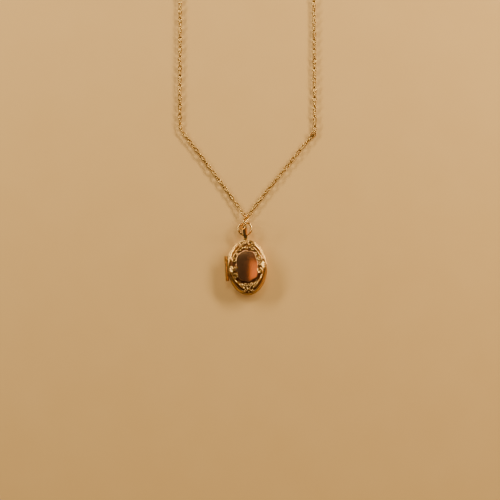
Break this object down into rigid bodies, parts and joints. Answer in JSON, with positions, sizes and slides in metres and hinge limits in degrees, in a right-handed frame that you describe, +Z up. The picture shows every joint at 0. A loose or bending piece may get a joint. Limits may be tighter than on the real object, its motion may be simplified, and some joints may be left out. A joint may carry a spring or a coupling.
{
  "type": "locket necklace",
  "caption": "Oval hinged picture locket with a scrolled, domed front and a plain centre, on a folded bail and jump rings, with a fine trace chain wound away to a bolt ring clasp.",
  "frame": {"origin": "centre of the flat middle of the locket back, on the surface it lies on", "axes": "+Z up out of the front, +Y from the locket to its bail, +X to the right, away from the hinge"},
  "size_m": [0.0533, 0.1312, 0.0058],
  "materials": {
    "yellow_gold": "polished",
    "rose_gold": "polished, die-struck relief",
    "inner_gold": "satin",
    "ring_gold": "polished wire",
    "chain_gold": "polished fine wire",
    "spring_steel": "drawn wire",
    "picture_card": "matte blank card",
    "clear_window": "clear film"
  },
  "bodies": {
    "chain": {"chain_left_run": "chain_gold", "chain_right_run": "chain_gold", "chain_left_coil": "chain_gold", "chain_right_coil": "chain_gold", "chain_centre_ring": "chain_gold", "corner_ring": "chain_gold", "bolt_ring_tube": "ring_gold", "bolt_ring_spring": "spring_steel", "bolt_ring_eye": "ring_gold", "clasp_link": "ring_gold", "end_ring": "ring_gold"},
    "upper_ring": {"upper_jump_ring": "ring_gold"},
    "lower_ring": {"lower_jump_ring": "ring_gold"},
    "locket_back": {"back_cover": "yellow_gold", "back_bezel": "yellow_gold", "back_inner_plate": "inner_gold", "back_picture_card": "picture_card", "back_window": "clear_window", "back_picture_frame": "yellow_gold", "back_knuckles": "yellow_gold", "hinge_pin": "yellow_gold", "snap_tongue": "yellow_gold", "bail": "rose_gold"},
    "locket_front": {"front_cover": "rose_gold", "front_bezel": "yellow_gold", "front_inner_plate": "inner_gold", "front_picture_card": "picture_card", "front_window": "clear_window", "front_picture_frame": "yellow_gold", "front_knuckle": "yellow_gold"},
    "clasp_slider": {"bolt_ring_slider": "ring_gold"}
  },
  "joints": [
    {"name": "upper_ring_lift", "type": "hinge", "parent": "chain", "child": "upper_ring", "pos_m": [0.00077, 0.01818, 0.00146], "axis": [1, 0, 0], "range_deg": [-55, 0]},
    {"name": "lower_ring_sway", "type": "hinge", "parent": "upper_ring", "child": "lower_ring", "pos_m": [-0.00144, 0.01437, 0.00173], "axis": [0, 0, 1], "range_deg": [-15, 15]},
    {"name": "bail_swing", "type": "hinge", "parent": "lower_ring", "child": "locket_back", "pos_m": [0, 0.0117, 0.0021], "axis": [1, 0, 0], "range_deg": [-75, 0]},
    {"name": "cover_hinge", "type": "hinge", "parent": "locket_back", "child": "locket_front", "pos_m": [-0.0076, 0, 0.00223], "axis": [0, -1, 0], "range_deg": [0, 170]},
    {"name": "clasp_slide", "type": "hinge", "parent": "chain", "child": "clasp_slider", "pos_m": [-0.0087, 0.111, 0.0006], "axis": [0, 0, 1], "range_deg": [0, 68], "stiffness_Nm_per_rad": 0.0004, "deforming": ["bolt_ring_spring"]}
  ]
}
